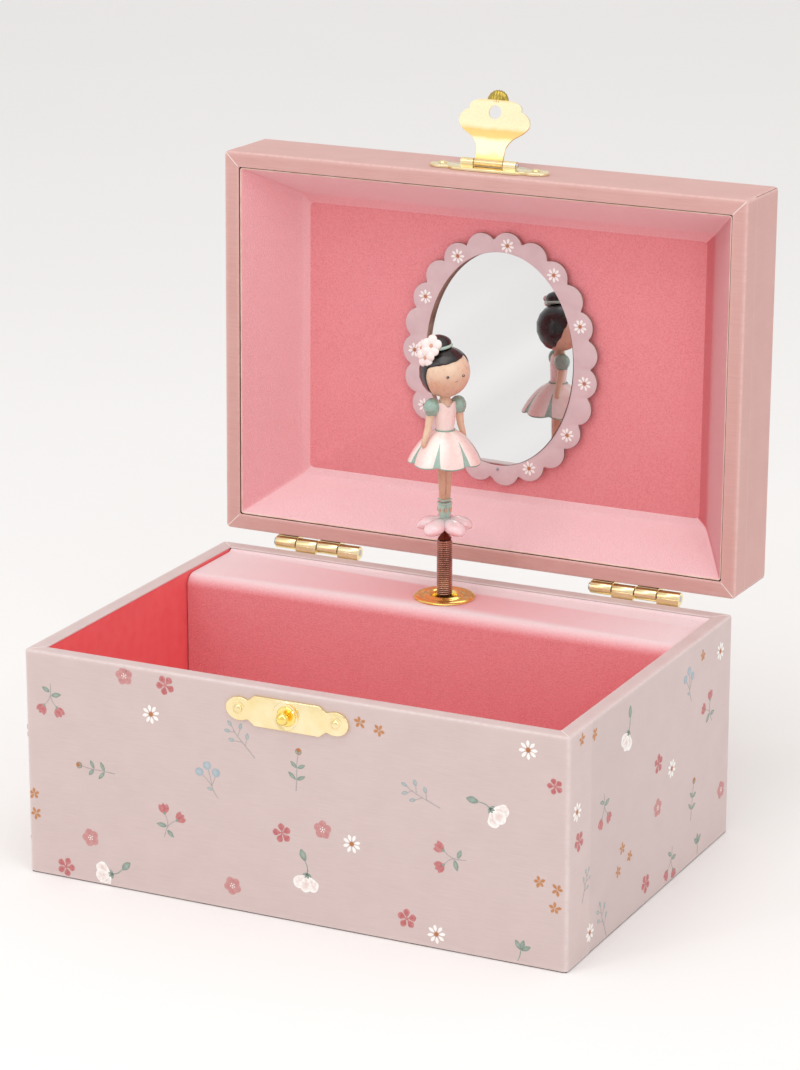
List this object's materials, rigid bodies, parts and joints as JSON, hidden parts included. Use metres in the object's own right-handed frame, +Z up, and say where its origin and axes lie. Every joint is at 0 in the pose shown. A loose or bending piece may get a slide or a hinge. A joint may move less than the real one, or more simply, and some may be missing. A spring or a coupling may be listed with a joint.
{
  "type": "ballerina jewellery box",
  "caption": "Hinged jewellery box with a wound musical movement that turns a small dancer on a spring in front of a mirror, and folds it down as the lid shuts.",
  "frame": {"origin": "middle of the underside, on the table", "axes": "+X to the right seen from the front, +Y to the back where the hinges are, +Z up; the lid stands open on its stop"},
  "size_m": [0.16, 0.1433, 0.201],
  "materials": {
    "paper_print": "satin printed paper",
    "paper_rose": "satin plain paper",
    "board": "bare fibreboard",
    "lining_coral": "smooth satin paper",
    "flock_pink": "flocked velour",
    "flock_light": "flocked velour",
    "sheet_dark": "matt felted paper",
    "card_mauve": "matt printed card",
    "mirror": "polished",
    "brass_bright": "polished, stamped",
    "brass_deep": "polished, turned",
    "brass_gear": "machined",
    "zinc": "cast, satin",
    "steel": "ground",
    "spring_bronze": "drawn wire",
    "petal_plastic": "moulded, glossy",
    "painted_resin": "hand painted, satin"
  },
  "bodies": {
    "base": {"front_board": "board", "back_board": "board", "left_board": "board", "right_board": "board", "floor_board": "board", "underside_sheet": "sheet_dark", "base_wrap": "paper_print", "front_lining": "lining_coral", "left_lining": "lining_coral", "right_lining": "lining_coral", "compartment_pad": "flock_pink", "mechanism_cover": "flock_pink", "cover_cleats": "board", "grommet": "brass_deep", "strike_plate": "brass_bright", "strike_stud": "brass_bright", "strike_nails": "brass_bright", "base_hinge_leaves": "brass_bright", "hinge_pins": "brass_bright", "base_hinge_nails": "brass_bright", "bedplate": "zinc", "bedplate_screws": "steel", "foot_bracket": "zinc", "top_bracket": "zinc", "comb_stand": "zinc", "comb": "steel", "comb_screws": "steel", "governor_frame": "zinc", "key_eyelet": "brass_bright"},
    "lid": {"lid_top_board": "board", "lid_front_board": "board", "lid_back_board": "board", "lid_left_board": "board", "lid_right_board": "board", "lid_wrap": "paper_rose", "liner_panel": "flock_pink", "liner_sides": "flock_light", "mirror_frame": "card_mauve", "mirror_glass": "mirror", "lid_hinge_leaves": "brass_bright", "lid_hinge_nails": "brass_bright", "hasp_plate": "brass_bright", "hasp_nails": "brass_bright", "hasp_pin": "brass_bright"},
    "hasp": {"hasp_tongue": "brass_bright"},
    "key": {"winding_key": "brass_bright", "winding_arbor": "steel"},
    "barrel": {"spring_barrel": "zinc", "barrel_cap": "zinc", "crown_wheel": "brass_gear", "mainspring": "steel"},
    "cylinder": {"music_cylinder": "brass_gear", "cylinder_arbor": "steel", "cylinder_pinion": "brass_gear", "great_wheel": "brass_gear"},
    "governor": {"governor_wheel": "brass_gear"},
    "fan": {"governor_fan": "brass_gear"},
    "flex_neck": {"ballerina_spring": "spring_bronze"},
    "ballerina": {"figure_base": "petal_plastic", "ballerina_figure": "painted_resin"}
  },
  "joints": [
    {"name": "lid_hinge", "type": "hinge", "parent": "base", "child": "lid", "pos_m": [0, 0.0583, 0.0654], "axis": [1, 0, 0], "range_deg": [0, 91]},
    {"name": "hasp_hinge", "type": "hinge", "parent": "lid", "child": "hasp", "pos_m": [0, 0.06663, 0.18147], "axis": [1, 0, 0], "range_deg": [0, 105]},
    {"name": "key_wind", "type": "hinge", "parent": "base", "child": "key", "pos_m": [0, 0.05, 0.02], "axis": [0, 1, 0], "continuous": true},
    {"name": "cylinder_spin", "type": "hinge", "parent": "base", "child": "cylinder", "pos_m": [0, 0.0386, 0.045], "axis": [0, 0, 1], "continuous": true},
    {"name": "barrel_spin", "type": "hinge", "parent": "base", "child": "barrel", "pos_m": [0, 0.036, 0.02], "axis": [0, 1, 0], "continuous": true},
    {"name": "governor_spin", "type": "hinge", "parent": "base", "child": "governor", "pos_m": [0.0108, 0.0386, 0.033], "axis": [0, 0, 1], "continuous": true},
    {"name": "fan_spin", "type": "hinge", "parent": "base", "child": "fan", "pos_m": [0.0172, 0.0386, 0.033], "axis": [0, 0, 1], "continuous": true},
    {"name": "ballerina_fold", "type": "hinge", "parent": "base", "child": "flex_neck", "pos_m": [0, 0.0386, 0.0675], "axis": [1, 0, 0], "range_deg": [0, 95.56], "deforming": ["ballerina_spring"]},
    {"name": "ballerina_spin", "type": "hinge", "parent": "flex_neck", "child": "ballerina", "pos_m": [0, 0.0386, 0.09], "axis": [0, 0, 1], "continuous": true}
  ],
  "couplings": [
    {"joint": "ballerina_fold", "follows": "lid_hinge", "ratio": 1.05},
    {"joint": "barrel_spin", "follows": "cylinder_spin", "ratio": -0.25},
    {"joint": "governor_spin", "follows": "cylinder_spin", "ratio": -5.75},
    {"joint": "fan_spin", "follows": "cylinder_spin", "ratio": 17.25},
    {"joint": "ballerina_spin", "follows": "cylinder_spin", "ratio": 1}
  ]
}
